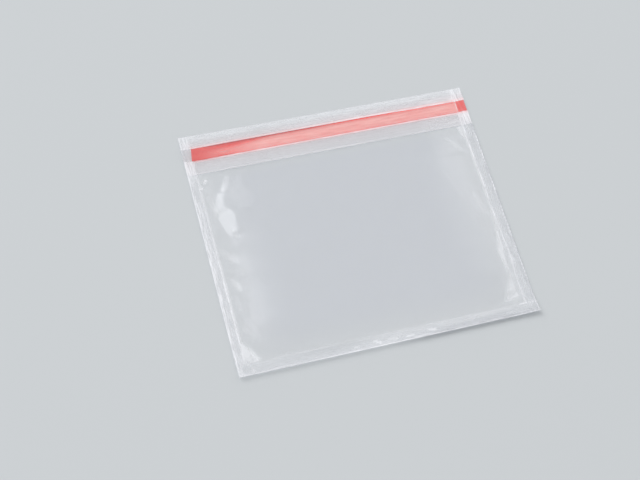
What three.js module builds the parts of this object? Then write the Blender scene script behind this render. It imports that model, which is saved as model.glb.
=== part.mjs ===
// Packing list envelope: a clear film pouch, welded along both sides and the bottom. The back film
// runs past the pocket's mouth, folds over and lies on the front as a flap. A red release strip
// covers the adhesive on the flap's inner face.
// Millimetres. X is the width, Y runs from the bottom weld up to the fold, and Z is up.
// The origin lies on the resting surface, under the middle of the envelope.
import * as THREE from "three";

// The envelope as a whole
const WIDTH = 177.8;
const HEIGHT = 152.4; // from the bottom weld's edge to the fold
const FILM = 0.1; // thickness of either film
const LEFT_WELD = 5.1;
const RIGHT_WELD = 6.6;
const BOTTOM_WELD = 7;

// The pocket's front, which stands off the back between the welds
const POCKET_RISE = 2.2;
const SIDE_RUN = 36; // how far in from a side weld the front takes to rise
const BOTTOM_RUN = 26;
const FLAP_RUN = 16;
const WELD_TUCK = 0.8; // the front leaves a side weld within this distance

// Slack film breaks into tilted facets beside its welds. Each facet is a thick line. It is given by
// one end's distance from that side and from the fold, the half width there, the same for the other
// end, and the slope.
const LEFT_FACETS = [
  [22.3, 30.5, 1.4, 15.4, 44, 2.6, 0.11],
  [15.4, 44, 2.6, 14.5, 50, 3.2, 0.15],
  [16.6, 54, 5.2, 17.2, 65, 2.8, 0.2],
  [9.5, 78, 2.2, 15.5, 83.5, 2.2, 0.05],
  [10.5, 95.5, 1.5, 13, 101.5, 1.5, 0.07],
  [9, 135.6, 1, 12.4, 143.6, 2.4, 0.18],
];
const RIGHT_FACETS = [
  [20.8, 30.5, 1, 9.8, 43.5, 1.4, 0.08],
  [8.3, 27.5, 1.8, 7.8, 37, 0.6, 0.12],
  [9.9, 103.5, 0.8, 9.6, 126.5, 1.8, 0.16],
  [18.4, 139.5, 1.2, 10.4, 135.6, 2, 0.14],
];
const FACET_EDGE = 2.4; // how softly a facet's slope starts and ends
const FACET_REACH = 26; // no facet lies further inside a side weld than this

// The mouth and the flap that lies over it
const FLAP_LENGTH = 26; // from the fold to the flap's free edge
const MOUTH_SETBACK = 4; // from the fold to the front film's top edge
const MOUTH_RISE = 0.3; // how far the mouth stands open under the flap
const MOUTH_RUN = 22; // how far in from a side weld the mouth takes to open
const FOLD_HEIGHT = 0.7; // the fold springs open to this height between the side welds
const FOLD_RUN = 4; // how far from the fold the flap takes to come down
const FLAP_LIFT = 0.3; // the flap's free edge stands off the front by this between the side welds
const WELD_EASE = 5; // how far in from a side weld the fold and the free edge take to open
const LAYER_GAP = 0.02; // air between layers that lie on each other without being bonded

// The release strip and the adhesive that it covers, along the middle of the flap
const STRIP_DROP = 12.7; // from the fold to the strip's middle line
const STRIP_WIDTH = 8.1;
const STRIP_THICKNESS = 0.06;
const STRIP_LEFT_MARGIN = 5.4;
const STRIP_RIGHT_MARGIN = 0.3;
const ADHESIVE_THICKNESS = 0.06;
const ADHESIVE_INSET = 0.5; // from the strip's long edges
const STRIP_RAMP = 1.6; // how far past the strip the flap takes to come down

// The welded edges, which curl up a little
const BOTTOM_CURL = 2.2;
const SIDE_CURL = 0.6;
const CURL_RUN = 16;

// How finely each stretch of a sheet is divided
const WELD_STEPS = 2;
const CURL_STEPS = 3;
const SLOPE_STEPS = 11;
const MIDDLE_STEPS = 8;
const POCKET_STEPS = 24;
const FOLD_STEPS = 6;
const BEND_STEPS = 4;

// Lines that several pieces share
const SIDE = WIDTH / 2;
const TOP = HEIGHT / 2;
const POCKET_LEFT = LEFT_WELD - SIDE; // the welds' inner edges
const POCKET_RIGHT = SIDE - RIGHT_WELD;
const POCKET_BOTTOM = BOTTOM_WELD - TOP;
const FLAP_Y = TOP - FLAP_LENGTH; // the flap's free edge
const MOUTH_Y = TOP - MOUTH_SETBACK;
const CURL_TOP = CURL_RUN - TOP; // the bottom's curl ends here
const STRIP_Y = TOP - STRIP_DROP; // the strip's middle line
const STRIP_LEFT = STRIP_LEFT_MARGIN - SIDE;
const STRIP_TOP = STRIP_Y + STRIP_WIDTH / 2;
const STRIP_BOTTOM = STRIP_Y - STRIP_WIDTH / 2;
const LOWER_BAND_TOP = STRIP_BOTTOM - STRIP_RAMP; // below this the flap lies free on the front
const STRIP_STACK = LAYER_GAP + STRIP_THICKNESS + ADHESIVE_THICKNESS;

/** A smooth step from 0 to 1 as value goes from 0 to 1, level at both ends. */
const ease = (value) => THREE.MathUtils.smoothstep(value, 0, 1);

/** Lines that divide stretches [start, end, steps] evenly. Each stretch starts where the last one ended. */
function lines(...stretches) {
  const places = [stretches[0][0]];
  for (const [start, end, steps] of stretches) {
    for (let step = 1; step <= steps; step++) {
      places.push(THREE.MathUtils.lerp(start, end, step / steps));
    }
  }
  return places;
}

/**
 * A closed sheet. Each column is an X, and each row is a function that gives the point at that X
 * on the sheet's first face (face 0, under a flat sheet) or on its second (face 1).
 */
function sheet(columns, rows) {
  const across = columns.length - 1;
  const along = rows.length - 1;
  const geometry = new THREE.BoxGeometry(across, along, 1, across, along, 1);
  const points = geometry.attributes.position;
  for (let i = 0; i < points.count; i++) {
    const column = Math.round(points.getX(i) + across / 2);
    const row = Math.round(points.getY(i) + along / 2);
    const face = points.getZ(i) > 0 ? 1 : 0;
    points.setXYZ(i, ...rows[row](columns[column], face));
  }
  geometry.computeVertexNormals();
  return geometry;
}

/** A row of a sheet at height y, whose first face lies at under(x, y). */
const layerRow = (y, under, thickness) => (x, face) => [x, y, under(x, y) + face * thickness];

/** How far the welded edges have curled off the surface. Along X and Y it is a sum, so facets stay flat. */
function curl(x, y) {
  const turn = (distance) => Math.max(0, 1 - distance / CURL_RUN) ** 2;
  return SIDE_CURL * turn(SIDE - Math.abs(x)) + BOTTOM_CURL * turn(y + TOP);
}

/** How far x lies inside the nearer side weld. */
const fromSideWeld = (x) => Math.min(x - POCKET_LEFT, POCKET_RIGHT - x);

/** The slope of the steepest facet at a place. A facet's slope eases off past its half width. */
function facetSlope(facets, fromEdge, fromFold) {
  const place = new THREE.Vector3(fromEdge, fromFold, 0);
  const slopes = facets.map(([edge0, fold0, half0, edge1, fold1, half1, slope]) => {
    const middle = new THREE.Line3(new THREE.Vector3(edge0, fold0, 0), new THREE.Vector3(edge1, fold1, 0));
    const along = middle.closestPointToPointParameter(place, true);
    const away = middle.at(along, new THREE.Vector3()).distanceTo(place);
    return slope * ease((THREE.MathUtils.lerp(half0, half1, along) - away) / FACET_EDGE + 0.5);
  });
  return Math.max(...slopes);
}

/**
 * The pillow's height from one side: its facets' slopes added up along X, and an even rise that makes
 * up the rest of the full height.
 */
function sideHeight(facets, weld, inward, y, full) {
  let here = 0;
  let all = 0;
  for (let step = 0; step < FACET_REACH; step++) {
    const slope = facetSlope(facets, weld + step + 0.5, TOP - y);
    here += slope * THREE.MathUtils.clamp(inward - step, 0, 1);
    all += slope;
  }
  return here + (full - all) * ease(inward / SIDE_RUN);
}

/** The slack pillow below the flap: its full height is reached from both sides. */
function pillow(x, y) {
  if (y >= FLAP_Y || y <= POCKET_BOTTOM || fromSideWeld(x) <= 0) return 0;
  const free = ease((FLAP_Y - y) / FLAP_RUN);
  const full = (POCKET_RISE - MOUTH_RISE) * ease((y - POCKET_BOTTOM) / BOTTOM_RUN) * free;
  const left = sideHeight(LEFT_FACETS, LEFT_WELD, x - POCKET_LEFT, y, full);
  const right = sideHeight(RIGHT_FACETS, RIGHT_WELD, POCKET_RIGHT - x, y, full);
  return Math.max(0, left + right - full) * ease(fromSideWeld(x) / WELD_TUCK);
}

/** How far the front stands off the back: nothing in the welds, a little at the mouth, most in the middle. */
function rise(x, y) {
  const mouth = MOUTH_RISE * ease(fromSideWeld(x) / MOUTH_RUN);
  return mouth * ease((y - POCKET_BOTTOM) / BOTTOM_RUN) + pillow(x, y);
}

const frontUnder = (x, y) => curl(x, y) + FILM + rise(x, y);
const stripUnder = (x, y) => frontUnder(x, y) + FILM + LAYER_GAP;
const adhesiveUnder = (x, y) => stripUnder(x, y) + STRIP_THICKNESS;

/**
 * The flap's inner face. It lies on the front film and over the strip, rises to the sprung fold and
 * stands off at its free edge.
 */
function flapUnder(x, y) {
  const pastStrip = (Math.abs(y - STRIP_Y) - STRIP_WIDTH / 2) / STRIP_RAMP;
  const overStrip = STRIP_STACK * (1 - ease(pastStrip));
  const onFront = frontUnder(x, y) + FILM + LAYER_GAP + overStrip;
  const sprung = FOLD_HEIGHT - FILM - onFront + curl(x, y);
  const atFold = sprung * ease((y - TOP + FOLD_RUN) / FOLD_RUN);
  const atFreeEdge = FLAP_LIFT * Math.max(0, (LOWER_BAND_TOP - y) / (LOWER_BAND_TOP - FLAP_Y)) ** 2;
  return onFront + (atFold + atFreeEdge) * ease(fromSideWeld(x) / WELD_EASE);
}

/** A row of the fold, turned by an angle from the back (0) round to the flap (a half turn). */
const foldRow = (angle) => (x, face) => {
  const radius = (flapUnder(x, TOP) + FILM - curl(x, TOP)) / 2;
  const reach = radius - face * FILM;
  return [x, TOP - radius + reach * Math.sin(angle), curl(x, TOP) + radius - reach * Math.cos(angle)];
};

// The films share their columns, and their rows where the edges curl, so that welded faces lie on
// each other.
const columns = lines(
  [-SIDE, POCKET_LEFT, WELD_STEPS],
  [POCKET_LEFT, POCKET_LEFT + FACET_REACH, SLOPE_STEPS],
  [POCKET_LEFT + FACET_REACH, POCKET_RIGHT - FACET_REACH, MIDDLE_STEPS],
  [POCKET_RIGHT - FACET_REACH, POCKET_RIGHT, SLOPE_STEPS],
  [POCKET_RIGHT, SIDE, WELD_STEPS],
);
const panelLines = (steps) =>
  lines(
    [-TOP, POCKET_BOTTOM, WELD_STEPS],
    [POCKET_BOTTOM, CURL_TOP, CURL_STEPS],
    [CURL_TOP, FLAP_Y, steps],
    [FLAP_Y, MOUTH_Y, 1],
  );

function backFilm() {
  const flapLines = lines(
    [TOP - FOLD_HEIGHT, TOP - FOLD_RUN, BEND_STEPS],
    [TOP - FOLD_RUN, STRIP_TOP + STRIP_RAMP, 1],
    [STRIP_TOP + STRIP_RAMP, STRIP_TOP, BEND_STEPS],
    [STRIP_TOP, STRIP_BOTTOM, 1],
    [STRIP_BOTTOM, LOWER_BAND_TOP, BEND_STEPS],
    [LOWER_BAND_TOP, FLAP_Y, BEND_STEPS],
  );
  const flapRow = (y) => (x, face) => [x, y, flapUnder(x, y) + (1 - face) * FILM];
  return sheet(columns, [
    ...panelLines(1).map((y) => layerRow(y, curl, FILM)),
    ...lines([0, Math.PI, FOLD_STEPS]).map(foldRow),
    ...flapLines.map(flapRow),
  ]);
}

function frontFilm() {
  return sheet(
    columns,
    panelLines(POCKET_STEPS).map((y) => layerRow(y, frontUnder, FILM)),
  );
}

/** A band that lies along the flap from left to right, between the films' own columns. */
function band(left, right, width, under, thickness) {
  const inside = columns.filter((x) => x > left && x < right);
  const edges = [STRIP_Y - width / 2, STRIP_Y + width / 2];
  return sheet(
    [left, ...inside, right],
    edges.map((y) => layerRow(y, under, thickness)),
  );
}

function releaseStrip() {
  const right = SIDE - STRIP_RIGHT_MARGIN;
  return band(STRIP_LEFT, right, STRIP_WIDTH, stripUnder, STRIP_THICKNESS);
}

function closureAdhesive() {
  const width = STRIP_WIDTH - 2 * ADHESIVE_INSET;
  return band(STRIP_LEFT, POCKET_RIGHT, width, adhesiveUnder, ADHESIVE_THICKNESS);
}

const clearFilm = { color: 0xdfe3e6, roughness: 0.15, metalness: 0, transparent: true, opacity: 0.35 };
const clearAdhesive = { color: 0xf0ece6, roughness: 0.3, metalness: 0, transparent: true, opacity: 0.25 };
const redStrip = { color: 0xe2514f, roughness: 0.35, metalness: 0 };

function piece(name, geometry, finish) {
  const mesh = new THREE.Mesh(geometry, new THREE.MeshStandardMaterial(finish));
  mesh.name = name;
  return mesh;
}

const envelope = new THREE.Group();
envelope.add(
  piece("back_film", backFilm(), clearFilm),
  piece("front_film", frontFilm(), clearFilm),
  piece("release_strip", releaseStrip(), redStrip),
  piece("closure_adhesive", closureAdhesive(), clearAdhesive),
);

export default envelope;
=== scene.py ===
# %% [markdown]
# Packing list envelope.
# This is a clear film pouch that carries the papers of a parcel. Two films are welded along the sides
# and the bottom. The back film runs on past the mouth, folds over and closes the pouch as a flap, and
# a red strip covers the adhesive on the flap's inner face.
# The solid model is loaded first as a fixed frame. The pieces made below stand for its nodes, in the
# same place and in metres, so nothing has to be fitted afterwards.

import bpy
import numpy as np
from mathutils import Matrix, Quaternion, Vector


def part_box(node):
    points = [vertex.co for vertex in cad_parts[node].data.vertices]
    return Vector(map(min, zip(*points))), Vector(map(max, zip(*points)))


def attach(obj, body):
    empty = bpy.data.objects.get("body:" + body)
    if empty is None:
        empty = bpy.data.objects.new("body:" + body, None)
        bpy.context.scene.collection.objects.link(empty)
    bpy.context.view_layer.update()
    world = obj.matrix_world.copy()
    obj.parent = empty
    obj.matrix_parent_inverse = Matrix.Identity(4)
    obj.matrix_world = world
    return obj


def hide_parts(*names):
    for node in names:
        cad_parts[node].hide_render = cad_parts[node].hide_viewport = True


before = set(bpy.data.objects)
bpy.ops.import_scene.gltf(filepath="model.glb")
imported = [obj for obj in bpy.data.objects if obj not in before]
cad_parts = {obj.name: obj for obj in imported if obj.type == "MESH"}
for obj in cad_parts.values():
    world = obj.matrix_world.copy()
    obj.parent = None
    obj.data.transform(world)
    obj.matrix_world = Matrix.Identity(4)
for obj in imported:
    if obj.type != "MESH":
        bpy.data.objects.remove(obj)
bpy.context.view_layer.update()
scene = bpy.context.scene
print("nodes:", sorted(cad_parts))

# %% [markdown]
# Sizes.
# A pouch like this is sold by its outline, so the outline is read from the frame and everything else
# is a length inside it. Millimetres are easier to think in than metres, so the formulas work in
# millimetres and only the finished points are scaled.

# %% Sizes in millimetres
MM = 0.001
low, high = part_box("back_film")
SIDE = (high.x - low.x) / 2 / MM
TOP = (high.y - low.y) / 2 / MM
FILM = 0.1
LEFT_WELD = 5.1
RIGHT_WELD = 6.6
BOTTOM_WELD = 7.0
FLAP_LENGTH = 26.0
MOUTH_SETBACK = 4.0
STRIP_WIDTH = 8.1
STRIP_DROP = 12.7
POCKET_LEFT = LEFT_WELD - SIDE
POCKET_RIGHT = SIDE - RIGHT_WELD
POCKET_BOTTOM = BOTTOM_WELD - TOP
FLAP_Y = TOP - FLAP_LENGTH
MOUTH_Y = TOP - MOUTH_SETBACK
STRIP_Y = TOP - STRIP_DROP
print(f"outline {2 * SIDE:.1f} x {2 * TOP:.1f} mm")

# %% [markdown]
# Camera.
# The view looks down on the front from the lower left, with the camera rolled a little, which sets the
# outline at a slant in the picture. A long lens keeps the two long edges nearly parallel. The camera is
# aimed with a track quaternion and then rolled about its own axis, because that keeps the three choices,
# place, aim and roll, apart from each other.

# %% Camera
SENSOR_WIDTH = 36.0
LENS = 70.3125
CAMERA_PLACE = Vector((-0.1758, -0.2738, 0.6522))
CAMERA_AIM = Vector((0.21112, 0.37221, -0.90382))
CAMERA_ROLL = np.radians(15.66)


def added(name, data):
    """A new object for some data, linked to the scene at the origin."""
    thing = bpy.data.objects.new(name, data)
    scene.collection.objects.link(thing)
    return thing


optics = bpy.data.cameras.new("view")
optics.sensor_width = SENSOR_WIDTH
optics.lens = LENS
camera = added("view", optics)
camera.location = CAMERA_PLACE
camera.rotation_mode = "QUATERNION"
camera.rotation_quaternion = CAMERA_AIM.to_track_quat("-Z", "Y") @ Quaternion((0, 0, 1), CAMERA_ROLL)
scene.camera = camera
scene.view_settings.view_transform = "Standard"
print(f"camera {CAMERA_PLACE.length:.3f} m from the envelope's middle")

# %% [markdown]
# Floor.
# The envelope lies on a plain pale surface, which shows through the film and gives it most of its
# colour. One large quad is enough. It is fully rough and has no gloss, so that it mirrors nothing, and
# it lies a hair below zero, so that it never shares a plane with the film that rests on it.

# %% Floor
FLOOR_REACH = 12.0
FLOOR_DROP = 0.05 * MM
FLOOR_COLOUR = (0.61, 0.638, 0.658)
floor_mesh = bpy.data.meshes.new("floor")
floor_corners = np.array([(-1, -1, 0), (1, -1, 0), (1, 1, 0), (-1, 1, 0)]) * FLOOR_REACH
floor_mesh.from_pydata(floor_corners.tolist(), [], [(0, 1, 2, 3)])
floor = added("floor", floor_mesh)
floor.location.z = -FLOOR_DROP
floor_paint = bpy.data.materials.new("pale_floor")
floor_paint.use_nodes = True
paint = floor_paint.node_tree.nodes["Principled BSDF"]
paint.inputs["Base Color"].default_value = (*FLOOR_COLOUR, 1)
paint.inputs["Roughness"].default_value = 1.0
paint.inputs["Specular IOR Level"].default_value = 0.0
floor_mesh.materials.append(floor_paint)
print("floor", 2 * FLOOR_REACH, "m across")

# %% [markdown]
# Sky and lamps.
# Clear film shows mostly what is behind it and what it mirrors, so the light matters more than the
# colour. An even sky gives most of the light. A large lamp at the back left gives the soft shadow, and
# two dimmer boxes hang where the film's left and right slopes mirror them, but where its flat middle
# doesn't, so that the slopes gleam and the middle stays clear.

# %% Sky and lamps
SKY = 0.685
LAMP_DISTANCE = 9.0
sky = bpy.data.worlds.new("even_sky")
sky.use_nodes = True
sky.node_tree.nodes["Background"].inputs["Color"].default_value = (SKY, SKY, SKY, 1)
scene.world = sky


def soft_box(name, towards, width, height, radiance):
    """A far rectangular lamp that faces the envelope. Its spans are shares of its distance, and its
    power is the radiance times pi times its area."""
    data = bpy.data.lights.new(name, "AREA")
    data.shape = "RECTANGLE"
    data.size = width * LAMP_DISTANCE
    data.size_y = height * LAMP_DISTANCE
    data.energy = radiance * np.pi * data.size * data.size_y
    lamp = added(name, data)
    direction = Vector(towards).normalized()
    lamp.location = direction * LAMP_DISTANCE
    lamp.rotation_mode = "QUATERNION"
    lamp.rotation_quaternion = (-direction).to_track_quat("-Z", "Y")
    print(f"{name}: {radiance * width * height * direction.z / np.pi:.2f} of the floor's light")


soft_box("window", towards=(-0.45, 0.60, 0.66), width=0.55, height=0.55, radiance=3.8)
soft_box("left_gleam", towards=(-0.21, 0.39, 0.90), width=0.26, height=0.42, radiance=2.4)
soft_box("right_gleam", towards=(0.62, 0.44, 0.66), width=0.26, height=0.5, radiance=0.7)

# %% [markdown]
# Curves that every piece shares.
# The films lie in each other's shape, so the shape is written once, as formulas of the place x, y on
# the envelope. Every formula takes whole arrays. A smooth step is the basic brick: it goes from 0 to 1
# and is level at both ends, so pieces of surface join without a crease.


# %% Basic curves
def ease(value):
    """Smooth step: 3 t squared minus 2 t cubed, of the value held between 0 and 1."""
    t = np.clip(value, 0.0, 1.0)
    return t * t * (3.0 - 2.0 * t)


def ramp(value, start, run):
    """A smooth step from 0 at the start to 1 after the run."""
    return ease((value - start) / run)


def fall(value, start, run):
    """A smooth step from 1 at the start to 0 after the run."""
    return 1 - ramp(value, start, run)


def bell(distance, width):
    """A bell curve: e to the power of minus the square of distance over width."""
    return np.exp(-((distance / width) ** 2))


def fade(distance, width):
    """A fade from 1: e to the power of minus distance over width."""
    return np.exp(-distance / width)


def stretches(*rows):
    """Places that divide stretches (start, end, steps) evenly, one stretch after the other."""
    parts = [np.linspace(start, end, steps + 1)[1:] for start, end, steps in rows]
    return np.concatenate([[rows[0][0]], *parts])


print("a smooth step in quarters:", ease(np.linspace(0, 1, 5)))

# %% [markdown]
# Places on the envelope.
# Most marks on a pouch are known by how far they lie from an edge, a weld or the strip. A few small
# functions turn x and y into such distances, with the soft edges that welded film has, so that the
# formulas further down read as a maker would say them.

# %% Places on the envelope
WELD_EDGE = 0.5
STRIP_EDGE = 0.6
STRIP_OVERHANG = 0.4


def from_corner(x, y):
    """How far a place lies across and down from the top left corner."""
    return x + SIDE, TOP - y


def from_side_weld(x):
    """How far x lies inside the nearer side weld: the smaller of the two distances."""
    return np.minimum(x - POCKET_LEFT, POCKET_RIGHT - x)


def in_side_weld(x):
    """1 inside a side weld and 0 in the pocket, with a soft edge."""
    return ease(0.5 - from_side_weld(x) / WELD_EDGE)


def in_bottom_weld(y):
    """1 inside the bottom weld and 0 above it, with a soft edge."""
    return ease(0.5 - (y - POCKET_BOTTOM) / WELD_EDGE)


def below_strip_top(y):
    """How far y lies below the strip's upper edge."""
    return STRIP_Y + STRIP_WIDTH / 2 - y


def beside_strip(y):
    """How far y lies outside the strip's long edges; negative on the strip."""
    return np.abs(y - STRIP_Y) - STRIP_WIDTH / 2


def strip_rows(y):
    """1 on the rows of the release strip and 0 elsewhere, with soft edges."""
    return ease((STRIP_OVERHANG - beside_strip(y)) / STRIP_EDGE)


print(f"the pocket is {POCKET_RIGHT - POCKET_LEFT:.1f} mm wide between its welds")

# %% [markdown]
# Curl and mouth.
# The welded edges are stiffer than the film between them and curl up a little, most of all along the
# bottom. Under the flap the front stands off the back by a few tenths of a millimetre, which is the
# pocket's mouth. Both are slow curves, so a square and a smooth step draw them well enough.

# %% Curl and mouth
BOTTOM_CURL = 2.2
SIDE_CURL = 0.6
CURL_RUN = 16.0
BOTTOM_RUN = 26.0
MOUTH_RISE = 0.3
MOUTH_RUN = 22.0


def curl(x, y):
    """How far the edges have curled up: the square of the nearness to a side or to the bottom."""
    side = np.maximum(0.0, 1.0 - (SIDE - np.abs(x)) / CURL_RUN) ** 2
    bottom = np.maximum(0.0, 1.0 - (y + TOP) / CURL_RUN) ** 2
    return SIDE_CURL * side + BOTTOM_CURL * bottom


def mouth(x, y):
    """The mouth's small opening, eased up from the side welds and from the bottom."""
    return MOUTH_RISE * ramp(from_side_weld(x), 0, MOUTH_RUN) * ramp(y, POCKET_BOTTOM, BOTTOM_RUN)


print(f"the bottom corners curl up {curl(SIDE, -TOP):.1f} mm")

# %% [markdown]
# The slack pillow.
# Between the welds the front stands off the back like a slack pillow. Film that is pulled in at a weld
# doesn't rise evenly: it breaks into small tilted facets, and each facet that mirrors a lamp is a
# gleam. So the facets are listed first, as short thick lines with a slope. Adding the slopes up across
# the film gives the height, and an even slope makes up the rest.

# %% Slack pillow
POCKET_RISE = 2.2
SIDE_RUN = 36.0
FLAP_RUN = 16.0
FACET_EDGE = 2.4
WELD_TUCK = 0.8
# How far one end lies from the side and from the fold, its half width, the other end's three, the slope
LEFT_FACETS = [
    (22.3, 30.5, 1.4, 16.2, 42.0, 2.2, 0.095),
    (15.2, 42.5, 2.4, 13.0, 50.0, 3.2, 0.122),
    (16.2, 56.0, 5.0, 16.8, 64.5, 3.2, 0.155),
    (9.5, 78.0, 2.2, 15.5, 83.5, 2.2, 0.03),
    (10.5, 95.5, 1.5, 13.0, 101.5, 1.5, 0.05),
    (9.0, 135.6, 1.0, 12.4, 143.6, 2.4, 0.16),
]
RIGHT_FACETS = [
    (20.8, 30.5, 1.0, 9.8, 43.5, 1.4, 0.08),
    (8.3, 27.5, 1.8, 7.8, 37.0, 0.6, 0.12),
    (9.9, 103.5, 0.8, 9.6, 126.5, 1.8, 0.16),
    (18.4, 139.5, 1.2, 10.4, 135.6, 2.0, 0.14),
]


def thick_lines(across, down, rows, soft):
    """The strongest of several thick lines at each place. The nearest point of a line is a share of its
    run, the half width changes evenly along it, and the edge is a smooth step of the softness."""
    u0, v0, half0, u1, v1, half1, strength = np.array(rows, float).T[:, :, None, None]
    run, drop = u1 - u0, v1 - v0
    share = ((across - u0) * run + (down - v0) * drop) / (run * run + drop * drop)
    share = np.clip(share, 0, 1)
    away = np.hypot(across - u0 - share * run, down - v0 - share * drop)
    half = half0 + share * (half1 - half0)
    return (strength * ease((half - away) / soft + 0.5)).max(axis=0)


def summed(slope, x):
    """The height that a slope adds up to along x: means of neighbouring slopes times their distance."""
    steps = (slope[:, 1:] + slope[:, :-1]) / 2 * np.diff(x, axis=1)
    return np.concatenate([np.zeros((len(x), 1)), np.cumsum(steps, axis=1)], axis=1)


def side_height(from_edge, y, weld, facets, full):
    """The pillow from one side: its facets added up, and an eased rise that makes up the full height."""
    facet = summed(thick_lines(from_edge, TOP - y, facets, FACET_EDGE), from_edge)
    return facet + (full - facet[:, -1:]) * ramp(from_edge, weld, SIDE_RUN)


def pillow(x, y):
    """The full height eases up from the bottom and the flap. The two sides' heights less the full one
    give the pillow, which is held above zero and tucked in at the welds."""
    row_y = y[:, :1]
    rise = ramp(row_y, POCKET_BOTTOM, BOTTOM_RUN) * ramp(FLAP_Y - row_y, 0, FLAP_RUN)
    full = (POCKET_RISE - MOUTH_RISE) * rise
    left = side_height(x + SIDE, y, LEFT_WELD, LEFT_FACETS, full)
    right = side_height(SIDE - x[:, ::-1], y, RIGHT_WELD, RIGHT_FACETS, full)[:, ::-1]
    return np.maximum(0, left + right - full) * ramp(from_side_weld(x), 0, WELD_TUCK)


print(len(LEFT_FACETS), "facets at the left and", len(RIGHT_FACETS), "at the right")

# %% [markdown]
# Closed sheets.
# A film is thin, but it isn't a plane: it has two faces and a rim, and only a closed shape has an
# inside that light can be sent through. Both faces are grids of the same size, and four strips of
# quads join their edges. Building the index arrays once, for any grid, is quicker and safer than a
# Solidify modifier, whose offset would push the films into each other.

# %% Closed sheet from two grids
SHARP_ANGLE = np.radians(50)


def face_quads(index):
    """Quads of a grid of vertex numbers, each going round its four corners."""
    corners = [index[:-1, :-1], index[:-1, 1:], index[1:, 1:], index[1:, :-1]]
    return np.stack(corners, axis=-1).reshape(-1, 4)


def rim_quads(first, second):
    """Quads that join two rows of vertex numbers."""
    return np.stack([first[:-1], first[1:], second[1:], second[:-1]], axis=-1)


def layer(x, y, z):
    """A grid of points from its three coordinates."""
    return np.stack(np.broadcast_arrays(x, y, z), axis=-1)


def sheet_mesh(name, first, second):
    """A closed mesh in metres from two grids of points in millimetres: two faces and four rims."""
    shape = first.shape[:2]
    below = np.arange(shape[0] * shape[1]).reshape(shape)
    above = below + below.size
    quads = np.concatenate(
        [
            face_quads(below)[:, ::-1],
            face_quads(above),
            rim_quads(below[0], above[0]),
            rim_quads(above[-1], below[-1]),
            rim_quads(above[:, 0], below[:, 0]),
            rim_quads(below[:, -1], above[:, -1]),
        ]
    )
    points = np.concatenate([first.reshape(-1, 3), second.reshape(-1, 3)]) * MM
    mesh = bpy.data.meshes.new(name)
    mesh.from_pydata(points.tolist(), [], quads.tolist())
    mesh.polygons.foreach_set("use_smooth", np.ones(len(quads), bool))
    mesh.set_sharp_from_angle(angle=SHARP_ANGLE)
    return mesh


def closed_sheet(name, first, second, **attributes):
    """A sheet piece whose vertices carry the named values, given for the first and the second grid."""
    mesh = sheet_mesh(name, first, second)
    shape = first.shape[:2]
    for key, sides in attributes.items():
        values = np.concatenate([np.broadcast_to(side, shape).ravel() for side in sides])
        mesh.attributes.new(key, "FLOAT", "POINT").data.foreach_set("value", values.astype(np.float32))
    mesh.update()
    print(f"{name}: {len(mesh.polygons) * 2} triangles")
    return added(name, mesh)


print("quads in a face of 3 x 4 points:", len(face_quads(np.arange(12).reshape(3, 4))))

# %% [markdown]
# Weld pattern.
# A heated bar presses the films together, so a side weld has a fine pressed pattern of short dashes
# and ends in a thin bead at its inner edge. The pattern is only a few hundredths of a millimetre deep,
# but it breaks the gleam, so it is real shape and not only a bump.

# %% Weld pattern
KNURL_DEPTH = 0.03
KNURL_PITCH = 2.0
KNURL_ROW = 1.25
BEAD_HEIGHT = 0.06
BEAD_WIDTH = 0.35


def knurl(x, y):
    """Dashes in the side welds: a wave along y whose phase turns half round in each next row."""
    wave = np.cos(2 * np.pi * y / KNURL_PITCH + np.pi * np.round(x / KNURL_ROW))
    return KNURL_DEPTH * wave * in_side_weld(x)


def beads(x, y):
    """Thin raised lines, bells of the distance, along the inner edges of the three welds."""
    sides = bell(from_side_weld(x), BEAD_WIDTH) * (y > POCKET_BOTTOM)
    bottom = bell(y - POCKET_BOTTOM, BEAD_WIDTH) * (from_side_weld(x) > 0)
    return BEAD_HEIGHT * np.maximum(sides, bottom)


print(f"the dashes stand {2 * KNURL_DEPTH:.2f} mm from low to high")

# %% [markdown]
# Haze of the welds.
# The film is clear in the pocket and milky where it was welded, cut or folded. The bright lines along
# the cuts are partly painted edge glow, light that a cut edge gathers. The haze is a number for each
# vertex, from 0 for clear to 1 for white, and the material turns it into a milky share. It could be
# painted on a picture, but a formula of the distance to those lines follows the surface on any view.
# The right weld shows slanted waves, where the bar pressed unevenly. In each term the first number is
# a strength, and those beside a distance are millimetres.

# %% Haze of the welds
RIB_PITCH = 1.1
BESIDE_STRIP_SHADE = 0.62
PRESS_PITCH = 2.4
PRESS_SLOPE = 1.6
PRESS_SHARE = 0.28
LINE_END = 144.0
LINE_END_RUN = 3.0


def left_weld_haze(x, y):
    """The larger of an even share with a fade in from the cut, which is partly painted edge glow, and a
    bell along the inner edge, which runs out in the bottom weld. Cut and line are weaker near the bottom
    corner."""
    down = TOP - y
    lower = ramp(down, 50, 50)
    lowest = ramp(down, 130, 6)
    corner = ramp(down, 136, 10)
    cut = (0.44 + 0.24 * ramp(down, 45, 30) - 0.32 * corner) * fade(SIDE - np.abs(x), 1.4)
    body = (0.24 - 0.02 * lower) * in_side_weld(x) + cut
    line = (0.32 + 0.22 * lower - 0.14 * lowest) * bell(from_side_weld(x), 0.8)
    return np.maximum(body, line * fall(down, LINE_END, LINE_END_RUN))


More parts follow.
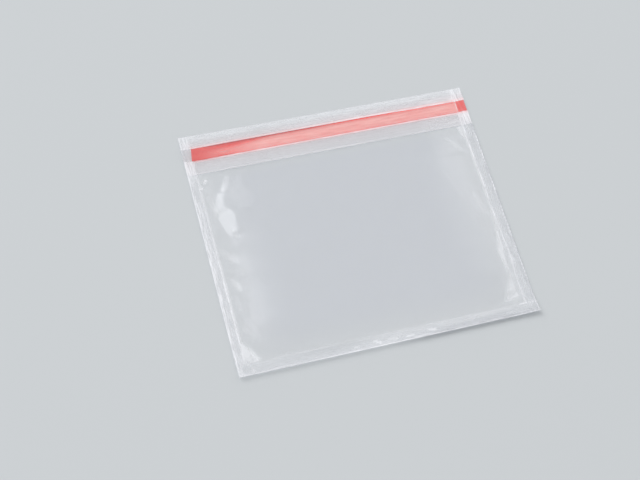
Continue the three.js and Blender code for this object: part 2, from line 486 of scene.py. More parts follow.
def right_weld_haze(x, y):
    """The larger of a share in slanted waves, with a thin line just inside the cut that is partly
    painted edge glow, and a bell along the inner edge, which is bent outwards in the lower half and runs
    out in the bottom weld."""
    down = TOP - y
    upper = fall(down, 45, 25)
    lowest = ramp(down, 110, 20)
    bend = 0.4 + 0.7 * bell(down - 112, 14)
    near_line = 0.08 * fade(np.maximum(-from_side_weld(x), 0), 1.8)
    cut = 0.26 * bell(SIDE - np.abs(x) - 0.5, 0.4)
    waves = 1 + PRESS_SHARE * np.cos(2 * np.pi * (y - PRESS_SLOPE * x) / PRESS_PITCH)
    body = ((0.19 - 0.02 * lowest + near_line) * in_side_weld(x) + cut) * waves
    line = (0.43 + 0.1 * upper - 0.04 * lowest) * bell(from_side_weld(x) + bend, 0.75)
    return np.maximum(body, line * fall(down, LINE_END, LINE_END_RUN))


def bottom_weld_haze(x, y):
    """The largest of a ribbed share that grows towards the cut, the cut, which is partly painted edge
    glow, and the inner edge. The share is clearer at the left and at the right end, and whiter by the
    cut right of the middle."""
    across, from_cut = x + SIDE, y + TOP
    middle = bell(across - 92, 34)
    right = ramp(across, 110, 30)
    ribs = 0.5 + 0.5 * np.cos(2 * np.pi * from_cut / RIB_PITCH)
    body = 0.14 + 0.05 * right + 0.07 * ribs + 0.12 * fall(from_cut, 0, 3.5) + 0.06 * middle
    clear_left = (0.03 + 0.1 * ramp(from_cut, 2, 4)) * bell(across - 58, 28)
    clear_right = 0.05 * ramp(across, 140, 20) * ramp(from_cut, 3, 3)
    white = 0.16 * bell(across - 104, 17) * fall(from_cut, 0.5, 2.5)
    body = body - (clear_left + clear_right) + white
    cut = (0.5 + 0.2 * middle + 0.12 * right) * bell(from_cut - 0.3, 0.45)
    line = 0.12 * bell(y - POCKET_BOTTOM, 0.4) * (from_side_weld(x) > 0)
    return np.maximum.reduce([body * in_bottom_weld(y), cut, line])


def weld_haze(x, y):
    """The larger of the side's and the bottom's haze. Beside the strip a side weld's haze is lowered,
    which paints shade there.
    """
    side = np.where(x < 0, left_weld_haze(x, y), right_weld_haze(x, y))
    return np.maximum(side * (1 - BESIDE_STRIP_SHADE * strip_rows(y)), bottom_weld_haze(x, y))


print(f"haze in the middle of the left weld {weld_haze(POCKET_LEFT - LEFT_WELD / 2, 0.0):.2f}")

# %% [markdown]
# Shade under the film.
# Film that lies on a floor darkens it a little, and most along the cut edges, where the two films stand
# up on their edge and no light comes in between. A true shadow of a hazy film would be far too dark,
# because haze scatters light onwards. So the share of lamplight that is held back is its own number.

# %% Shade under the margins
POCKET_SHADE = 0.004


def margin_shade(x, y):
    """Little in the pocket, more in the welds and most along the cuts, as bells of the distance."""
    side_cut = np.where(x < 0, 0.2 * bell(SIDE + x, 1.2), 0.7 * bell(SIDE - x, 0.7))
    sides = 0.1 * in_side_weld(x) + side_cut
    bottom_cut = 0.24 + 0.6 * ramp(x + SIDE, 85, 35)
    bottom = 0.08 * in_bottom_weld(y) + bottom_cut * bell(y + TOP, 3.0)
    return POCKET_SHADE + np.maximum(sides, bottom)


print(f"shade at the bottom right corner {margin_shade(SIDE, -TOP):.2f}")

# %% [markdown]
# Veil and painted gleams of the front.
# Slack film scatters a little light beside its welds, and where it was creased it stays white, but most
# of this milk is painted highlight: it lightens the slopes beside the welds, the corners and the creases
# where the film gleams. Soft patches, creases and specks are listed as thick lines, as the facets are,
# because a list of short lines is easy to move about until they sit where the film is really pulled.

# %% Veil and painted gleams
PATCH_EDGE = 5.0
CREASE_EDGE = 2.0
SPECK_EDGE = 1.0
# One end across and down from the top left corner, its half width, the other end's three, the strength
GLEAM_PATCHES = [
    (25.0, 38.0, 5.0, 28.0, 48.0, 5.0, 0.075),
    (29.8, 30.5, 0.3, 28.6, 38.0, 0.5, 0.14),
    (18.5, 66.0, 0.6, 19.5, 69.0, 0.6, 0.3),
    (11.0, 35.0, 1.5, 10.0, 42.0, 1.5, 0.09),
    (9.6, 42.0, 0.6, 10.2, 54.0, 0.8, 0.2),
    (9.0, 55.0, 0.3, 9.5, 62.0, 0.3, 0.12),
    (9.5, 77.5, 1.2, 13.5, 83.5, 1.4, 0.15),
    (12.0, 89.0, 0.5, 17.0, 94.0, 1.0, 0.1),
    (10.0, 95.0, 0.6, 12.5, 100.0, 1.0, 0.24),
    (9.5, 105.0, 0.4, 10.5, 113.0, 0.4, 0.2),
    (10.0, 125.0, 0.6, 12.5, 128.0, 0.8, 0.24),
    (12.0, 122.0, 2.0, 15.0, 130.0, 3.0, 0.1),
    (158.0, 33.0, 0.1, 161.5, 36.5, 0.4, 0.26),
    (161.5, 36.5, 0.4, 165.0, 41.5, 0.2, 0.26),
    (164.0, 72.0, 1.5, 167.0, 85.0, 1.5, 0.16),
    (167.5, 130.0, 0.8, 163.8, 139.5, 3.2, 0.26),
]
CREASE_GLEAMS = [
    (22.0, 31.5, 1.5, 19.0, 39.0, 2.0, 0.15),
    (6.4, 134.0, 0.9, 7.6, 140.0, 2.0, 0.48),
    (7.4, 140.0, 1.8, 8.0, 142.4, 1.8, 0.34),
    (9.0, 141.0, 2.0, 10.6, 144.0, 2.6, 0.22),
    (168.6, 26.8, 1.2, 169.8, 34.0, 0.4, 0.36),
    (170.2, 84.0, 0.4, 169.6, 99.0, 0.8, 0.2),
    (169.6, 99.0, 0.9, 169.2, 110.5, 0.9, 0.36),
    (169.4, 103.5, 0.6, 167.6, 111.0, 1.9, 0.27),
    (167.6, 111.0, 1.9, 168.0, 124.0, 0.3, 0.27),
    (168.4, 126.5, 0.7, 166.4, 136.0, 2.4, 0.27),
    (160.5, 142.0, 0.5, 167.8, 139.6, 1.4, 0.34),
]
GLINT_SPECKS = [
    (8.8, 31.9, 0.8, 9.6, 30.7, 0.8, 0.55),
    (5.2, 35.3, 0.8, 6.6, 35.3, 0.8, 0.45),
    (5.4, 145.0, 0.5, 8.4, 148.6, 0.5, 0.3),
    (8.5, 148.6, 0.6, 8.3, 152.0, 0.6, 0.4),
    (66.0, 149.5, 0.6, 69.0, 150.0, 0.6, 0.4),
    (79.0, 148.6, 0.9, 82.0, 150.2, 1.0, 0.52),
    (87.0, 149.0, 0.8, 91.8, 149.8, 1.0, 0.54),
    (97.5, 149.8, 0.7, 102.0, 150.0, 0.7, 0.45),
    (110.0, 148.7, 0.8, 115.0, 149.6, 0.9, 0.5),
    (167.0, 145.6, 0.4, 177.0, 145.7, 0.4, 0.5),
]


def veil(x, y):
    """Thin milk in the pocket, mostly painted sheen: fades from the welds, a wedge at the right and the
    listed places.
    """
    across, down = from_corner(x, y)
    inside = np.maximum(from_side_weld(x), 0)
    left = 0.13 * fade(inside, 11) * (x < 0)
    wedge_edge = 150 + 13 * ramp(down, 50, 50)
    wedge = 0.09 * ease((across - wedge_edge) / 8 + 0.5)
    right = (wedge + 0.08 * fade(inside, 4)) * (x > 0)
    low = 0.05 * fade(np.maximum(y - POCKET_BOTTOM, 0), 9)
    gleam_patches = thick_lines(across, down, GLEAM_PATCHES, PATCH_EDGE)
    crease_gleams = thick_lines(across, down, CREASE_GLEAMS, CREASE_EDGE)
    pocket = (1 - in_side_weld(x)) * (1 - in_bottom_weld(y)) * (y < FLAP_Y)
    return (np.maximum(left + right, low) + np.maximum(gleam_patches, crease_gleams)) * pocket


def glint_specks(x, y):
    """Painted glints: small white spots and lines in and beside the welds, as short thick lines."""
    return thick_lines(*from_corner(x, y), GLINT_SPECKS, SPECK_EDGE)


print(len(GLEAM_PATCHES), "patches,", len(CREASE_GLEAMS), "creases and", len(GLINT_SPECKS), "glint_specks")

# %% [markdown]
# Front film.
# One sheet from the bottom edge up to the mouth, which lies under the flap. Its columns are closest in
# the welds, where the pattern is fine, and widest in the flat middle. The depth is 1 in the middle of
# the pocket, and there it gives a slight dim, bluish tint, which is painted shade.

# %% Front film
LAYER_GAP = 0.02
FINE_REACH = 26.0
columns = stretches(
    (-SIDE, POCKET_LEFT, 20),
    (POCKET_LEFT, POCKET_LEFT + FINE_REACH, 30),
    (POCKET_LEFT + FINE_REACH, POCKET_RIGHT - FINE_REACH, 70),
    (POCKET_RIGHT - FINE_REACH, POCKET_RIGHT, 30),
    (POCKET_RIGHT, SIDE, 28),
)
front_rows = stretches(
    (-TOP, POCKET_BOTTOM, 20),
    (POCKET_BOTTOM, FLAP_Y, 200),
    (FLAP_Y, MOUTH_Y, 20),
)


def front_under(x, y):
    """The front film's under face below the flap: the back's curl and thickness, and then the mouth."""
    return curl(x, y) + FILM + LAYER_GAP / 2 + mouth(x, y)


def painted_dim_middle(x, y):
    """Share of a painted dim tint: 1 in the middle of the pocket, eased to 0 at the welds and at the
    flap.
    """
    return ramp(from_side_weld(x), 0, 30) * ramp(y, POCKET_BOTTOM, 20) * ramp(FLAP_Y - y, 0, 8)


x, y = np.meshgrid(columns, front_rows)
front_low = front_under(x, y) + pillow(x, y) * (y < FLAP_Y) * (y > POCKET_BOTTOM)
front_high = front_low + FILM + knurl(x, y) + beads(x, y)
# The specks in the haze are painted glints, and the veil is mostly painted sheen.
front_film = closed_sheet(
    "front_film_sheet",
    layer(x, y, front_low),
    layer(x, y, front_high),
    haze=(0.0, np.maximum(weld_haze(x, y), glint_specks(x, y))),
    veil=(0.0, veil(x, y)),
    grain=(0.0, in_side_weld(x)),
    depth=(0.0, painted_dim_middle(x, y)),
    shade=(0.0, margin_shade(x, y)),
)

# %% [markdown]
# Release strip.
# The red strip lies between the front and the flap and covers the adhesive until it is pulled away.
# A cut-out rectangle would do for a stiff strip, but this one follows the front's shape, so it is a
# grid on the front's own columns and rides just above its face. Its left end is cut at a slant, and its
# right end is the pull tab.

# %% Release strip
STRIP_THICKNESS = 0.06
STRIP_LEFT_MARGIN = 5.4
STRIP_RIGHT_MARGIN = 0.3
STRIP_STEPS = 18
END_SLANT = 1.2
SLANT_CLEAR = 1.5
TAB_IN_WELD = 0.8
STRIP_LEFT = STRIP_LEFT_MARGIN - SIDE
STRIP_RIGHT = SIDE - STRIP_RIGHT_MARGIN
TAB_START = POCKET_RIGHT + TAB_IN_WELD


def strip_under(x, y):
    """The strip's under face, just off the front film."""
    return front_under(x, y) + FILM + LAYER_GAP


def band_grid(left, right, width):
    """A grid along the strip's middle line, on the films' columns, with its left end at a slant."""
    inside = columns[(columns > left + SLANT_CLEAR) & (columns < right)]
    rows = np.linspace(STRIP_Y - width / 2, STRIP_Y + width / 2, STRIP_STEPS + 1)
    x, y = np.meshgrid(np.concatenate([[left], inside, [right]]), rows)
    x[:, 0] += END_SLANT * (y[:, 0] - STRIP_Y) / STRIP_WIDTH
    return x, y


def strip_dark(x, y):
    """The largest of a line that fades in from the upper edge, which is painted shade, the left end, and
    the pull tab.
    """
    across = x + SIDE
    line = 0.95 * bell(below_strip_top(y), 1.2) * ramp(across, 8, 12) * fall(across, 65, 50)
    left_end = 0.26 * fall(across, 15, 18)
    tab = 0.13 * ramp(x, TAB_START - 0.5, 1.0)
    return np.maximum.reduce([line, left_end, tab])


x, y = band_grid(STRIP_LEFT, STRIP_RIGHT, STRIP_WIDTH)
release_strip = closed_sheet(
    "red_release_strip",
    layer(x, y, strip_under(x, y)),
    layer(x, y, strip_under(x, y) + STRIP_THICKNESS),
    dark=(0.0, strip_dark(x, y)),
)

# %% [markdown]
# Closure adhesive.
# A thin band of clear adhesive stays on the flap's inner face when the strip comes off. It is only seen
# as a paler red, because it scatters light over the strip, and where it wets the strip well, at the left
# end, the red comes through. So it is a second band on the same grid, up to the pull tab, with a haze of
# its own. A share of that haze is even, and the material streaks the rest.

# %% Closure adhesive
ADHESIVE_THICKNESS = 0.06
ADHESIVE_INSET = 0.5
ADHESIVE_SHADE = 0.02
ADHESIVE_EVEN_SHARE = 0.5


def adhesive_haze(x, y):
    """Pale along most of the strip and clear at the left end, with a wedge along the upper edge whose
    depth runs out evenly."""
    across, below = x + SIDE, below_strip_top(y)
    wedge = 0.5 + 2.2 * np.clip(1 - (across - 30) / 24, 0, 1)
    left_end = 0.14 + 0.34 * ramp(across, 12, 12) + 0.52 * ramp(across, 22, 28)
    pale = left_end * ramp(across, 6, 10) * ramp(below, wedge - 1.2, 3.6)
    return 0.01 + 0.39 * pale * (1 - 0.14 * ramp(below, 3.5, 4))


x, y = band_grid(STRIP_LEFT, TAB_START, STRIP_WIDTH - 2 * ADHESIVE_INSET)
adhesive_low = strip_under(x, y) + STRIP_THICKNESS + LAYER_GAP / 4
closure_adhesive = closed_sheet(
    "clear_closure_adhesive",
    layer(x, y, adhesive_low),
    layer(x, y, adhesive_low + ADHESIVE_THICKNESS - LAYER_GAP / 2),
    haze=(0.0, (1 - ADHESIVE_EVEN_SHARE) * adhesive_haze(x, y)),
    veil=(0.0, ADHESIVE_EVEN_SHARE * adhesive_haze(x, y)),
    shade=(0.0, ADHESIVE_SHADE),
)

# %% [markdown]
# The lie of the flap.
# The flap lies on the front, climbs over the strip, and springs up a little at the fold and along its
# free edge. The fold is a half circle whose radius follows the flap's height, so it is nearly shut at
# the welds and open between them. A bevelled edge would have one radius all along.

# %% Lie of the flap and fold
FOLD_HEIGHT = 0.7
FOLD_RUN = 4.0
FLAP_LIFT = 0.3
WELD_EASE = 5.0
STRIP_RAMP = 1.6
STRIP_STACK = LAYER_GAP + STRIP_THICKNESS + ADHESIVE_THICKNESS
LOWER_BAND_TOP = STRIP_Y - STRIP_WIDTH / 2 - STRIP_RAMP


def flap_under(x, y):
    """The flap's inner face: on the front, over the strip, up to the sprung fold, and off at its free
    edge by the square of the distance."""
    over_strip = STRIP_STACK * fall(beside_strip(y), 0, STRIP_RAMP)
    on_front = front_under(x, y) + FILM + LAYER_GAP + over_strip
    sprung = FOLD_HEIGHT - FILM - on_front + curl(x, y)
    at_fold = sprung * ramp(y, TOP - FOLD_RUN, FOLD_RUN)
    at_free_edge = FLAP_LIFT * np.maximum(0, (LOWER_BAND_TOP - y) / (LOWER_BAND_TOP - FLAP_Y)) ** 2
    return on_front + (at_fold + at_free_edge) * ramp(from_side_weld(x), 0, WELD_EASE)


def fold_points(angle, inward):
    """Points of the fold: half a circle from the back (angle 0) to the flap (a half turn)."""
    x, turn = np.meshgrid(columns, angle)
    radius = (flap_under(x, TOP) + FILM - curl(x, TOP)) / 2
    reach = radius - inward
    return layer(x, TOP - radius + reach * np.sin(turn), curl(x, TOP) + radius - reach * np.cos(turn))


print(f"the fold stands {flap_under(0.0, TOP) + FILM:.2f} mm high")

# %% [markdown]
# Haze, painted highlights and painted red glow of the flap.
# The flap is milky above the strip, clear over it, where the adhesive wets it, and faint below. Over the
# side welds four layers lie on each other and make white squares. The thin white lines along the strip's
# edges, where air is caught, and where the pull tab starts are painted highlights, and so is the line
# along the free edge. The red of the strip that lights the film beside it is a painted red glow.


# %% Haze, painted highlights, painted red glow and shade of the flap
def flap_body_haze(x, y):
    """The bands above, over and below the strip, and the squares over the welds; the larger counts."""
    across, down = from_corner(x, y)
    over = strip_rows(y)
    below = ramp(beside_strip(y), 0.2, 0.8) * (y < STRIP_Y)
    right_end = ramp(across, 140, 30)
    header = 0.27 + 0.07 * ramp(across, 50, 40) - 0.09 * ramp(down, 3.0, 1.4) * (1 - right_end)
    smudge = 0.16 * bell(from_side_weld(x) - 0.5, 3.0) * (x > 0)
    band = 0.13 + 0.06 * ramp(down, 18, 7) + 0.1 * right_end
    body = (header + smudge) * (1 - over) * (1 - below) + 0.01 * over + band * below
    left_square = 0.42 * (1 - over)
    right_square = 0.45 + 0.11 * below - 0.34 * over
    return np.maximum(body, in_side_weld(x) * np.where(x < 0, left_square, right_square))


def flap_lines_and_highlights(x, y):
    """The largest of bells along the strip's edges and lower rim, the free edge, the fold, the welds'
    edges and the start of the pull tab. Those along the strip, its tab and the free edge are painted
    highlights."""
    across, down = from_corner(x, y)
    above_strip = STRIP_DROP - STRIP_WIDTH / 2 - 0.6 + 0.7 * ramp(across, 115, 35)
    upper = (0.35 + 0.45 * ramp(across, 60, 50)) * bell(down - above_strip, 0.5)
    lower = 0.6 * ramp(across, 6, 20) * bell(down - STRIP_DROP - STRIP_WIDTH / 2 - 0.5, 0.45)
    free_edge = 0.34 * bell(down - FLAP_LENGTH + 0.3, 0.8)
    fold_edge = 0.25 * bell(down, 0.5)
    weld_edge = 0.32 * bell(from_side_weld(x), 0.6) * (1 - strip_rows(y))
    rim = 0.24 * ramp(across, 18, 30) * bell(beside_strip(y) + 0.1, 0.5) * (y < STRIP_Y)
    tab_edge = 0.32 * bell(x - TAB_START + 0.35, 0.35) * strip_rows(y)
    return np.maximum.reduce([upper, lower, free_edge, fold_edge, weld_edge, rim, tab_edge])


def flap_blush(x, y):
    """Painted red light beside the strip: a bell close to its long edges, and a fade further away."""
    beyond_end = np.maximum(STRIP_LEFT - x, 0)
    beside = beside_strip(y)
    away = np.hypot(np.maximum(beside, 0), beyond_end)
    above = 0.11 * fall(away, 1, 6) * np.where(beyond_end > 0, 0.5, 1.0)
    below = 0.11 * fade(away, 6)
    line = 0.34 * bell(beside - 0.6, 0.55) * (beyond_end == 0)
    return (np.where(y < STRIP_Y, below, above) + line) * (away > 0)


def flap_shade(y):
    """Lamplight that the flap holds back: more below the strip, and bells under both its edges."""
    down = TOP - y
    under_strip = 0.1 * bell(down - 18.4, 0.8)
    return 0.02 + 0.05 * ramp(down, 17, 2) + under_strip + 0.12 * bell(down - FLAP_LENGTH, 0.8)


print(f"haze in the middle of the header {flap_body_haze(0.0, TOP - 2):.2f}")

# %% [markdown]
# Back film.
# The back film is one sheet: the flat panel on the floor, the fold at the top and the flap over the
# front. The three stretches are three grids of points on the same columns, joined row after row, so the
# film is never cut where it folds.

# %% Back film with fold and flap
PANEL_HAZE = 0.7
FOLD_HAZE = 0.3
FOLD_SHADE = 0.05
FOLD_STEPS = 12
panel_rows = stretches((-TOP, POCKET_BOTTOM, 14), (POCKET_BOTTOM, FLAP_Y, 30), (FLAP_Y, MOUTH_Y, 6))
fold_angles = np.linspace(0, np.pi, FOLD_STEPS + 1)
flap_rows = stretches((TOP - FOLD_HEIGHT, TOP - FOLD_RUN, 10), (TOP - FOLD_RUN, FLAP_Y, 70))
panel_x, panel_y = np.meshgrid(columns, panel_rows)
flap_x, flap_y = np.meshgrid(columns, flap_rows)
inner_film = FILM - LAYER_GAP / 2
panel_z = curl(panel_x, panel_y)
flap_z = flap_under(flap_x, flap_y)
outer_face = [
    layer(panel_x, panel_y, panel_z),
    fold_points(fold_angles, 0.0),
    layer(flap_x, flap_y, flap_z + FILM),
]
inner_face = [
    layer(panel_x, panel_y, panel_z + inner_film),
    fold_points(fold_angles, inner_film),
    layer(flap_x, flap_y, flap_z + LAYER_GAP / 2),
]


def joined(on_panel, on_fold, on_flap):
    """Values of the back film's three stretches, one after the other."""
    shapes = [face.shape[:2] for face in outer_face]
    return np.concatenate([np.broadcast_to(*pair) for pair in zip((on_panel, on_fold, on_flap), shapes)])


flap_haze = np.maximum(flap_body_haze(flap_x, flap_y), flap_lines_and_highlights(flap_x, flap_y))
back_film = closed_sheet(
    "back_film_sheet",
    np.concatenate(outer_face),
    np.concatenate(inner_face),
    haze=(joined(PANEL_HAZE * weld_haze(panel_x, panel_y), FOLD_HAZE, flap_haze), 0.0),
    grain=(in_side_weld(columns), 0.0),
    shade=(joined(margin_shade(panel_x, panel_y), FOLD_SHADE, flap_shade(flap_y)), 0.0),
    blush=(joined(0.0, 0.0, flap_blush(flap_x, flap_y)), 0.0),
)

# %% [markdown]
# Mottle, a group that the finishes share.
# No film is even. Haze gathers in streaks, clear film ripples, and a coloured strip is a little cloudy.
# A node group holds that pattern once: it takes a scale, a stretch and two limits, and puts out a value
# between them, which a material uses for its haze, its colour, its shine or its bump.

# %% Mottle group
NOISE_DETAIL = 1.5
NOISE_LOW = 0.3
NOISE_HIGH = 0.7
mottle = bpy.data.node_groups.new("Mottle", "ShaderNodeTree")
for name, kind, value in (
    ("Stretch", "NodeSocketVector", (1, 1, 1)),
    ("Scale", "NodeSocketFloat", 400.0),
    ("Least", "NodeSocketFloat", 0.5),
    ("Most", "NodeSocketFloat", 1.5),
):
    mottle.interface.new_socket(name, in_out="INPUT", socket_type=kind).default_value = value
mottle.interface.new_socket("Value", in_out="OUTPUT", socket_type="NodeSocketFloat")
group_in = mottle.nodes.new("NodeGroupInput")
group_out = mottle.nodes.new("NodeGroupOutput")
place = mottle.nodes.new("ShaderNodeTexCoord")
stretch = mottle.nodes.new("ShaderNodeVectorMath")
stretch.operation = "MULTIPLY"
noise = mottle.nodes.new("ShaderNodeTexNoise")
noise.inputs["Detail"].default_value = NOISE_DETAIL
spread = mottle.nodes.new("ShaderNodeMapRange")
spread.inputs["From Min"].default_value = NOISE_LOW
spread.inputs["From Max"].default_value = NOISE_HIGH
for source, target in (
    (place.outputs["Object"], stretch.inputs[0]),
    (group_in.outputs["Stretch"], stretch.inputs[1]),
    (stretch.outputs[0], noise.inputs["Vector"]),
    (group_in.outputs["Scale"], noise.inputs["Scale"]),
    (noise.outputs["Fac"], spread.inputs["Value"]),
    (group_in.outputs["Least"], spread.inputs["To Min"]),
    (group_in.outputs["Most"], spread.inputs["To Max"]),
    (spread.outputs["Result"], group_out.inputs["Value"]),
):
    mottle.links.new(source, target)
print("group sockets:", [item.name for item in mottle.interface.items_tree])

# %% [markdown]
# Short words for nodes.
# A material is a graph, and written out in full it is mostly lines that make a node, set two numbers
# and join two sockets. These helpers make the kinds of node that the finishes need, and each gives back
# the socket that the next node reads, so a finish can be written almost as a formula.


# %% Node helpers
def wire(material, *links):
    """Joins pairs of sockets in a material."""
    for source, target in links:
        material.node_tree.links.new(source, target)


def feed(material, slot, value):
    """Gives an input its value, which is a number, a colour or another node's socket."""
    if isinstance(value, bpy.types.NodeSocket):
        wire(material, (value, slot))
    else:
        slot.default_value = value


def math_node(material, operation, *values):
    """A Math node, whose values are numbers or sockets."""
    node = material.node_tree.nodes.new("ShaderNodeMath")
    node.operation = operation
    for slot, value in zip(node.inputs, values):
        feed(material, slot, value)
    return node.outputs[0]


def mix_node(material, kind, share, first, second):
    """A Mix node: the first value where the share is 0, and the second where it is 1."""
    node = material.node_tree.nodes.new("ShaderNodeMix")
    node.data_type = kind
    for key, value in (("Factor", share), ("A", first), ("B", second)):
        feed(material, node.inputs[key], value)
    return node.outputs["Result"]


def mottle_node(material, scale, least, most, stretch=(1, 1, 1)):
    """The Mottle group placed in a material with its own values."""
    node = material.node_tree.nodes.new("ShaderNodeGroup")
    node.node_tree = mottle
    node.inputs["Scale"].default_value = scale
    node.inputs["Least"].default_value = least
    node.inputs["Most"].default_value = most
    node.inputs["Stretch"].default_value = stretch
    return node.outputs["Value"]


def bump_node(material, height, strength, distance):
    """A Bump node that tilts the surface by a height."""
    node = material.node_tree.nodes.new("ShaderNodeBump")
    node.inputs["Strength"].default_value = strength
    node.inputs["Distance"].default_value = distance
    wire(material, (height, node.inputs["Height"]))
    return node.outputs[0]


def vertex_value(material, name):
    """A number that the mesh carries by vertex; 0 where it carries none."""
    node = material.node_tree.nodes.new("ShaderNodeAttribute")
    node.attribute_name = name
    return node.outputs["Fac"]


def new_material(name):
    """A new material and its Principled shader."""
    material = bpy.data.materials.new(name)
    material.use_nodes = True
    return material, material.node_tree.nodes["Principled BSDF"]


print("node helpers:", [tool.__name__ for tool in (math_node, mix_node, mottle_node, bump_node)])

# %% [markdown]
# Clear film.
# The film is two shaders in one: a gloss that grows at low angles, as Fresnel says, over a thin milk
# that is see-through as far as the haze lets it. One closed sheet has two faces, so the gloss is only
# given to the face that light meets from outside, with an index that gives the gloss of both. Milky
# film passes most light on, so lamps and bounced light meet the shade instead of the haze. Without that
# the floor under a weld would go dark instead of light.

# %% Film material
RED_GLOW_COLOUR = (1.0, 0.45, 0.46, 1)
GLOSS_COLOUR = (0.96, 0.96, 1, 1)
GLOSS_INDEX = 1.75
MILK_ROUGHNESS = 0.45
RIPPLE_STRENGTH = 0.08
RIPPLE_DEPTH = 0.2 * MM
NOT_ZERO = 0.0001
# A mottle's scale, its least and most, and its stretch
STREAKS_ACROSS = (900, 0.65, 1.35, (0.12, 1, 1))
STREAKS_ALONG = (1000, 0.5, 1.5, (1, 0.13, 1))
RIPPLES = (260, 0.0, 1.0)


def film_haze(material):
    """Haze times streaks across, or along the side welds where the grain is 1; and the veil, mostly
    painted sheen on the front film.
    """
    across = mottle_node(material, *STREAKS_ACROSS)
    along = mottle_node(material, *STREAKS_ALONG)
    streaks = mix_node(material, "FLOAT", vertex_value(material, "grain"), across, along)
    streaked = math_node(material, "MULTIPLY", vertex_value(material, "haze"), streaks)
    return math_node(material, "ADD", streaked, vertex_value(material, "veil"))


def share_of(material, part, whole):
    """What share a part is of a whole; 0 where the whole is 0."""
    return math_node(material, "DIVIDE", part, math_node(material, "ADD", whole, NOT_ZERO))


def film_gloss(material, path, roughness, normal):
    """A gloss shader, and its share: Fresnel on the outside, and none for the rays that find lamps."""
    nodes = material.node_tree.nodes
    gloss = nodes.new("ShaderNodeBsdfGlossy")
    gloss.inputs["Color"].default_value = GLOSS_COLOUR
    gloss.inputs["Roughness"].default_value = roughness
    wire(material, (normal, gloss.inputs["Normal"]))
    fresnel = nodes.new("ShaderNodeFresnel")
    fresnel.inputs["IOR"].default_value = GLOSS_INDEX
    geometry = nodes.new("ShaderNodeNewGeometry")
    outside = math_node(material, "SUBTRACT", 1.0, geometry.outputs["Backfacing"])
    no_lamp_ray = math_node(material, "SUBTRACT", 1.0, path.outputs["Is Shadow Ray"])
    mirrored = math_node(material, "MULTIPLY", fresnel.outputs[0], outside)
    return gloss.outputs[0], math_node(material, "MULTIPLY", mirrored, no_lamp_ray)


def film_material(name, milk_colour, dim_tint_colour, dim_tint_share, gloss_roughness):
    """Milk by haze, gloss by Fresnel. The eye meets haze, the painted dim tint and the painted red glow,
    and lamplight the shade.
    """
    material, milk = new_material(name)
    nodes = material.node_tree.nodes
    haze = film_haze(material)
    # The red glow beside the strip is painted light.
    blush = vertex_value(material, "blush")
    # The depth tint is painted shade: it dims and blues the middle of the pocket.
    tint = math_node(material, "MULTIPLY", vertex_value(material, "depth"), dim_tint_share)
    film = math_node(material, "ADD", haze, tint)
    seen = math_node(material, "ADD", film, blush)
    milk_share = share_of(material, haze, film)
    colour = mix_node(material, "RGBA", milk_share, (*dim_tint_colour, 1), (*milk_colour, 1))
    colour = mix_node(material, "RGBA", share_of(material, blush, seen), colour, RED_GLOW_COLOUR)
    path = nodes.new("ShaderNodeLightPath")
    lamp_ray, bounce = path.outputs["Is Shadow Ray"], path.outputs["Is Diffuse Ray"]
    lamplight = math_node(material, "MAXIMUM", lamp_ray, bounce)
    opaque = mix_node(material, "FLOAT", lamplight, seen, vertex_value(material, "shade"))
    ripples = bump_node(material, mottle_node(material, *RIPPLES), RIPPLE_STRENGTH, RIPPLE_DEPTH)
    milk.inputs["Roughness"].default_value = MILK_ROUGHNESS
    gloss, mirrored = film_gloss(material, path, gloss_roughness, ripples)
    both = nodes.new("ShaderNodeMixShader")
    wire(
        material,
        (colour, milk.inputs["Base Color"]),
        (opaque, milk.inputs["Alpha"]),
        (ripples, milk.inputs["Normal"]),
        (mirrored, both.inputs["Fac"]),
        (milk.outputs[0], both.inputs[1]),
        (gloss, both.inputs[2]),
        (both.outputs[0], nodes["Material Output"].inputs["Surface"]),
    )
    print(name, "has", len(nodes), "nodes")
    return material


clear_film = film_material(
    "clear_film",
    milk_colour=(0.93, 0.945, 0.985),
    dim_tint_colour=(0.3, 0.32, 0.95),
    dim_tint_share=0.022,
    gloss_roughness=0.2,
)
clear_adhesive = film_material(
    "clear_adhesive",
    milk_colour=(1.0, 0.93, 0.88),
    dim_tint_colour=(0.9, 0.9, 0.9),
    dim_tint_share=0.0,
    gloss_roughness=0.3,
)

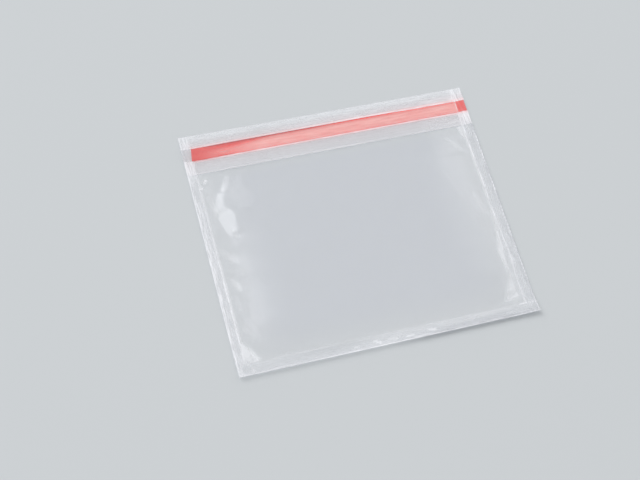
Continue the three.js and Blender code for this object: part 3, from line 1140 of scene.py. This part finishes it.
# %% [markdown]
# Red strip.
# The strip is an opaque satin film. Thin film is drawn out lengthwise when it is made, which leaves it
# a little cloudy, with faint lines and an uneven shine along its length. So the same mottle, stretched
# along the strip, gives its colour, its roughness and its bump.

# %% Strip material
STRIP_RED = (0.84, 0.03, 0.022, 1)
STRIP_PALER_RED = (0.90, 0.065, 0.045, 1)
STRIP_DARK_RED = (0.5, 0.02, 0.02, 1)
DRAWN_STRENGTH = 0.1
DRAWN_DEPTH = 0.1 * MM
# A mottle's scale, its least and most, and its stretch
CLOUDS = (60, 0.0, 1.0, (1, 6, 1))
DRAWN_LINES = (1200, 0.0, 1.0, (0.05, 1, 1))
UNEVEN_SHINE = (400, 0.36, 0.48, (0.2, 1, 1))
red_strip, satin = new_material("red_strip")
clouds = mottle_node(red_strip, *CLOUDS)
cloudy_red = mix_node(red_strip, "RGBA", clouds, STRIP_RED, STRIP_PALER_RED)
# The dark line along the strip's upper edge is painted shade.
red = mix_node(red_strip, "RGBA", vertex_value(red_strip, "dark"), cloudy_red, STRIP_DARK_RED)
drawn_lines = mottle_node(red_strip, *DRAWN_LINES)
wire(
    red_strip,
    (red, satin.inputs["Base Color"]),
    (mottle_node(red_strip, *UNEVEN_SHINE), satin.inputs["Roughness"]),
    (bump_node(red_strip, drawn_lines, DRAWN_STRENGTH, DRAWN_DEPTH), satin.inputs["Normal"]),
)
print("red_strip has", len(red_strip.node_tree.nodes), "nodes")

# %% [markdown]
# Joining the pieces to the frame.
# Each piece gets its finish, rides on the one body and stands for its node.

# %% Pieces and nodes
for piece, node, slot, material in (
    (back_film, "back_film", "clear_film", clear_film),
    (front_film, "front_film", "clear_film", clear_film),
    (release_strip, "release_strip", "red_strip", red_strip),
    (closure_adhesive, "closure_adhesive", "clear_adhesive", clear_adhesive),
):
    piece.data.materials.append(material)
    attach(piece, "root")
    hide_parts(node)
    print(piece.name, "stands for", node)

# %% [markdown]
# Last settings.
# A view through the flap crosses many faces, so the number of see-through steps is raised.

# %% See-through steps
SEE_THROUGH_STEPS = 32
scene.cycles.transparent_max_bounces = SEE_THROUGH_STEPS
